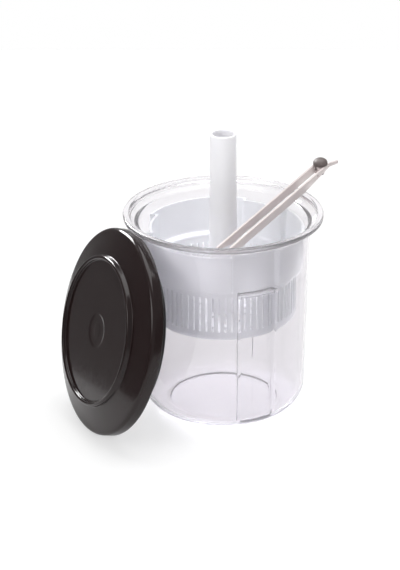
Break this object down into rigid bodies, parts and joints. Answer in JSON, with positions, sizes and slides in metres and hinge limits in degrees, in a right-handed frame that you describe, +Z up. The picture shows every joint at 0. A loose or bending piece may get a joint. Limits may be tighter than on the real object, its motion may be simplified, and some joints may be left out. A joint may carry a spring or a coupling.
{
  "type": "pickle keeper with lift strainer",
  "caption": "Clear round canister with a slotted strainer on a lift tube, parked up on wall columns, a leaning dark lid with a seal, and tongs across the mouth.",
  "frame": {"origin": "centre of the canister's base, on the surface it stands on", "axes": "+Z up along the canister's axis; -Y is the front; the lid leans at -X and the tongs' head points to +X +Y"},
  "size_m": [0.1981, 0.1764, 0.1999],
  "materials": {
    "clear_plastic": "clear gloss",
    "frosted_plastic": "frosted",
    "white_plastic": "milky satin",
    "dark_plastic": "gloss",
    "seal_rubber": "soft gloss",
    "grey_plastic": "satin",
    "cap_plastic": "satin"
  },
  "bodies": {
    "canister": {"canister": "clear_plastic"},
    "strainer_tube": {"lift_tube": "white_plastic"},
    "strainer": {"strainer_basket": "frosted_plastic"},
    "lid": {"lid_cover": "dark_plastic", "lid_seal": "seal_rubber"},
    "tongs": {"tongs_left_arm": "grey_plastic", "tongs_pin": "cap_plastic"},
    "tongs_jaw": {"tongs_right_arm": "grey_plastic"}
  },
  "joints": [
    {"name": "strainer_lift", "type": "slide", "parent": "canister", "child": "strainer_tube", "axis": [0, 0, 1], "range_m": [-0.06, 0.002]},
    {"name": "strainer_turn", "type": "hinge", "parent": "strainer_tube", "child": "strainer", "pos_m": [0, 0, 0.0672], "axis": [0, 0, 1], "range_deg": [0, 60]},
    {"name": "lid_lift", "type": "slide", "parent": "canister", "child": "lid", "axis": [-0.8742, -0.417, 0.2487], "range_m": [0, 0.12]},
    {"name": "tongs_lift", "type": "slide", "parent": "canister", "child": "tongs", "axis": [0, 0, 1], "range_m": [0, 0.12]},
    {"name": "tongs_squeeze", "type": "hinge", "parent": "tongs", "child": "tongs_jaw", "pos_m": [0.06966, 0.0641, 0.14669], "axis": [0.0489, 0.0847, -0.9952], "range_deg": [0, 2.6], "stiffness_Nm_per_rad": 0.05}
  ]
}
